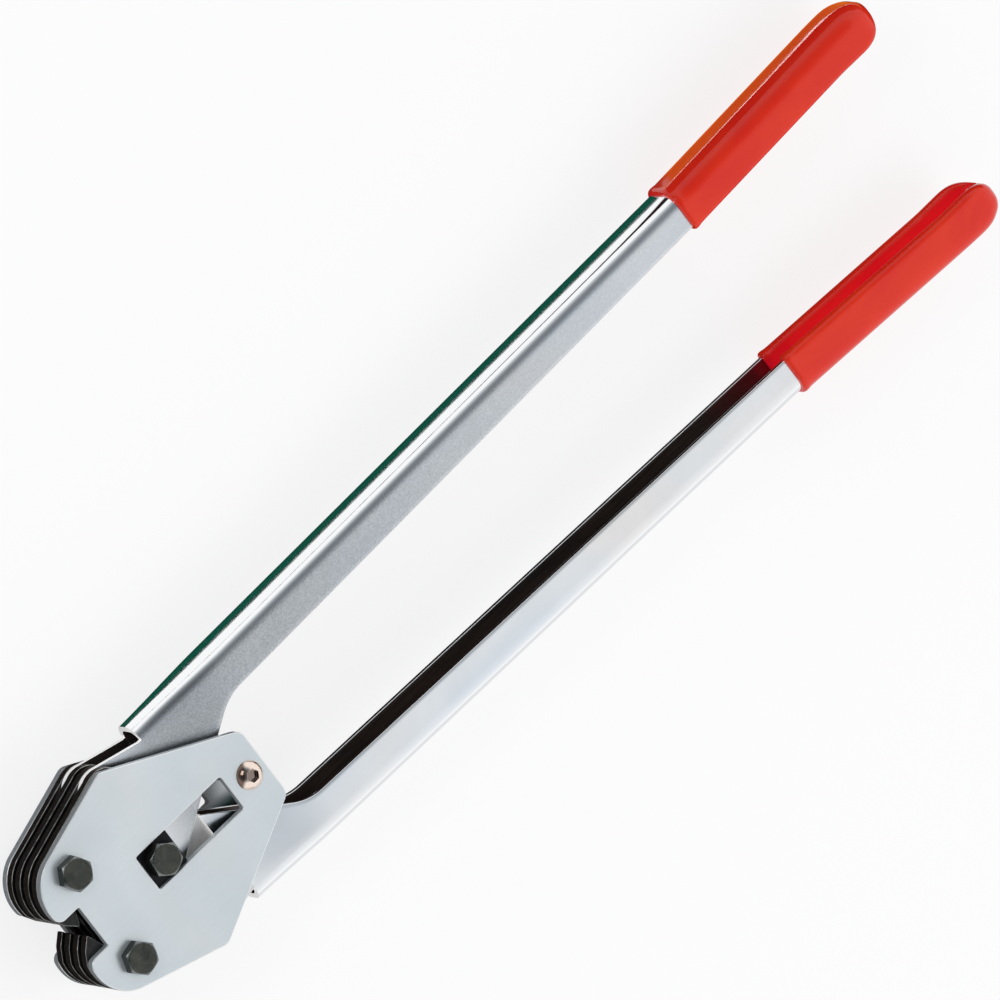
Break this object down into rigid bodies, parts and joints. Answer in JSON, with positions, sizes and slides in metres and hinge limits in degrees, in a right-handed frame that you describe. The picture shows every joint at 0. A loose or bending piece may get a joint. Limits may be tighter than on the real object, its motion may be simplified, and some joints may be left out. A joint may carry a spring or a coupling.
{
  "type": "strapping seal crimping tool",
  "caption": "Two-handed hand sealer for plastic strap: long channel handles with dipped grips drive laminated crimping jaws between two frame plates.",
  "frame": {"origin": "middle of the floor of the mouth between the frame plates, on the middle plane of the leaf stack", "axes": "+X from the mouth to the grips, +Y towards the upper handle, +Z out of the front plate, where the bolt heads are"},
  "size_m": [0.5139, 0.1144, 0.0466],
  "materials": {
    "frame_zinc": "pale bluish bright zinc plating, satin",
    "handle_zinc": "bright zinc plating, glossy",
    "black_fastener": "black oxide, worn at the edges",
    "guide_block": "black oxide, oiled",
    "jaw_steel": "blackened hardened steel with ground edges",
    "anvil_steel": "blackened hardened steel",
    "ground_steel": "ground bare steel",
    "nickel_screw": "warm nickel plating",
    "zinc_hardware": "zinc plating",
    "grip_vinyl": "glossy red dipped vinyl"
  },
  "bodies": {
    "frame": {"front_plate": "frame_zinc", "rear_plate": "frame_zinc", "jaw_pivot_bolts": "black_fastener", "jaw_pivot_nuts": "black_fastener", "jaw_pivot_bushes": "ground_steel", "anvil_plates": "anvil_steel", "tie_screw": "nickel_screw", "tie_spacer": "zinc_hardware", "tie_nut": "zinc_hardware"},
    "centre": {"centre_bolt": "black_fastener", "centre_nut": "black_fastener", "centre_bush": "ground_steel", "centre_spacer": "ground_steel", "front_guide_block": "guide_block", "rear_guide_block": "guide_block"},
    "upper_handle": {"upper_handle": "handle_zinc", "upper_grip": "grip_vinyl"},
    "lower_handle": {"lower_handle": "handle_zinc", "lower_grip": "grip_vinyl"},
    "upper_jaw": {"upper_jaw_leaf_1": "jaw_steel", "upper_jaw_leaf_2": "jaw_steel", "upper_jaw_leaf_3": "jaw_steel", "upper_jaw_leaf_4": "jaw_steel", "upper_jaw_pin": "ground_steel"},
    "lower_jaw": {"lower_jaw_leaf_1": "jaw_steel", "lower_jaw_leaf_2": "jaw_steel", "lower_jaw_leaf_3": "jaw_steel", "lower_jaw_leaf_4": "jaw_steel", "lower_jaw_pin": "ground_steel"}
  },
  "joints": [
    {"name": "centre_slide", "type": "slide", "parent": "frame", "child": "centre", "axis": [1, 0, 0], "range_m": [0, 0.031]},
    {"name": "upper_handle_swing", "type": "hinge", "parent": "centre", "child": "upper_handle", "pos_m": [0.0406, 0, 0], "axis": [0, 0, 1], "range_deg": [0, 56]},
    {"name": "lower_handle_swing", "type": "hinge", "parent": "centre", "child": "lower_handle", "pos_m": [0.0406, 0, 0], "axis": [0, 0, 1], "range_deg": [-56, 0]},
    {"name": "upper_jaw_swing", "type": "hinge", "parent": "frame", "child": "upper_jaw", "pos_m": [0.0066, 0.02265, 0], "axis": [0, 0, 1], "range_deg": [-24.8, 0]},
    {"name": "lower_jaw_swing", "type": "hinge", "parent": "frame", "child": "lower_jaw", "pos_m": [0.0066, -0.02265, 0], "axis": [0, 0, 1], "range_deg": [0, 24.8]}
  ],
  "couplings": [
    {"joint": "lower_handle_swing", "follows": "upper_handle_swing", "ratio": -1},
    {"joint": "centre_slide", "follows": "upper_handle_swing", "m_per_rad": 0.031717},
    {"joint": "upper_jaw_swing", "follows": "upper_handle_swing", "ratio": -0.44286},
    {"joint": "lower_jaw_swing", "follows": "upper_handle_swing", "ratio": 0.44286}
  ]
}
